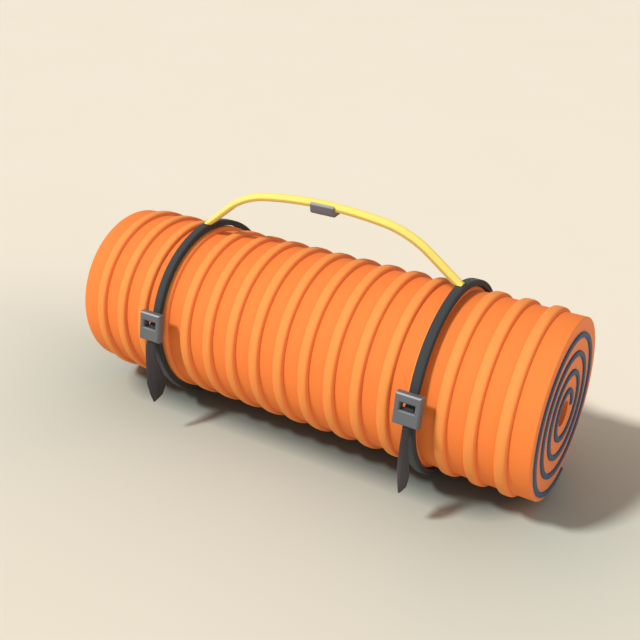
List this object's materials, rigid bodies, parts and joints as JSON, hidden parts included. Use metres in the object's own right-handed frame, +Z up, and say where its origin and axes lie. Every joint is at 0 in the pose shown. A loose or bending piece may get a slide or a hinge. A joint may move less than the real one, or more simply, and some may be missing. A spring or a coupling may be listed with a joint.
{
  "type": "foam sleeping mat",
  "caption": "Ribbed foam camping mat rolled up with its backing inside, held by webbing straps with moulded buckles, and carried by a webbing handle with a clip-on grip.",
  "frame": {"origin": "on the surface that the straps rest on, below the middle of the part's box", "axes": "+X along the roll to the end whose spiral shows in the picture, +Z up, and -Y to the side with the buckles"},
  "size_m": [0.554, 0.2338, 0.2686],
  "materials": {
    "mat_foam": "orange closed-cell foam with a fine matte skin",
    "mat_backing": "slate blue closed-cell foam, matte",
    "strap_webbing": "charcoal webbing folded double",
    "tail_webbing": "charcoal webbing with a crease",
    "buckle_plastic": "grey moulded plastic, satin",
    "lock_bar_steel": "plain drawn steel pin",
    "dark_thread": "dark polyester thread, box of stitches",
    "handle_webbing": "yellow webbing",
    "pale_thread": "ochre polyester thread, box of stitches",
    "grip_plastic": "grey moulded plastic, satin"
  },
  "bodies": {
    "roll": {"mat_foam": "mat_foam", "mat_backing": "mat_backing", "left_strap": "strap_webbing", "left_buckle_frame": "buckle_plastic", "left_eye_tack": "dark_thread", "left_handle_tab": "handle_webbing", "left_bar_tack": "pale_thread", "right_strap": "strap_webbing", "right_buckle_frame": "buckle_plastic", "right_eye_tack": "dark_thread", "right_handle_tab": "handle_webbing", "right_bar_tack": "pale_thread"},
    "handle": {"handle_webbing": "handle_webbing"},
    "grip": {"handle_grip": "grip_plastic"},
    "left_tail": {"left_strap_tail": "tail_webbing"},
    "right_tail": {"right_strap_tail": "tail_webbing"},
    "left_lock": {"left_lock_bar": "lock_bar_steel"},
    "right_lock": {"right_lock_bar": "lock_bar_steel"}
  },
  "joints": [
    {"name": "handle_swing", "type": "hinge", "parent": "roll", "child": "handle", "pos_m": [0, 0.01176, 0.21409], "axis": [1, 0, 0], "range_deg": [-102, 97]},
    {"name": "grip_slide", "type": "hinge", "parent": "handle", "child": "grip", "pos_m": [0, 0.02854, -0.22288], "axis": [0, 0.9993, 0.0384], "range_deg": [-4, 4]},
    {"name": "left_tail_swing", "type": "hinge", "parent": "roll", "child": "left_tail", "pos_m": [-0.1572, -0.10055, 0.108], "axis": [1, 0, 0], "range_deg": [-68, 18]},
    {"name": "right_tail_swing", "type": "hinge", "parent": "roll", "child": "right_tail", "pos_m": [0.1578, -0.10055, 0.108], "axis": [1, 0, 0], "range_deg": [-68, 18]},
    {"name": "left_lock_slide", "type": "slide", "parent": "roll", "child": "left_lock", "axis": [0, 0.19, 0.9818], "range_m": [0, 0.0012]},
    {"name": "right_lock_slide", "type": "slide", "parent": "roll", "child": "right_lock", "axis": [0, 0.19, 0.9818], "range_m": [0, 0.0012]}
  ]
}
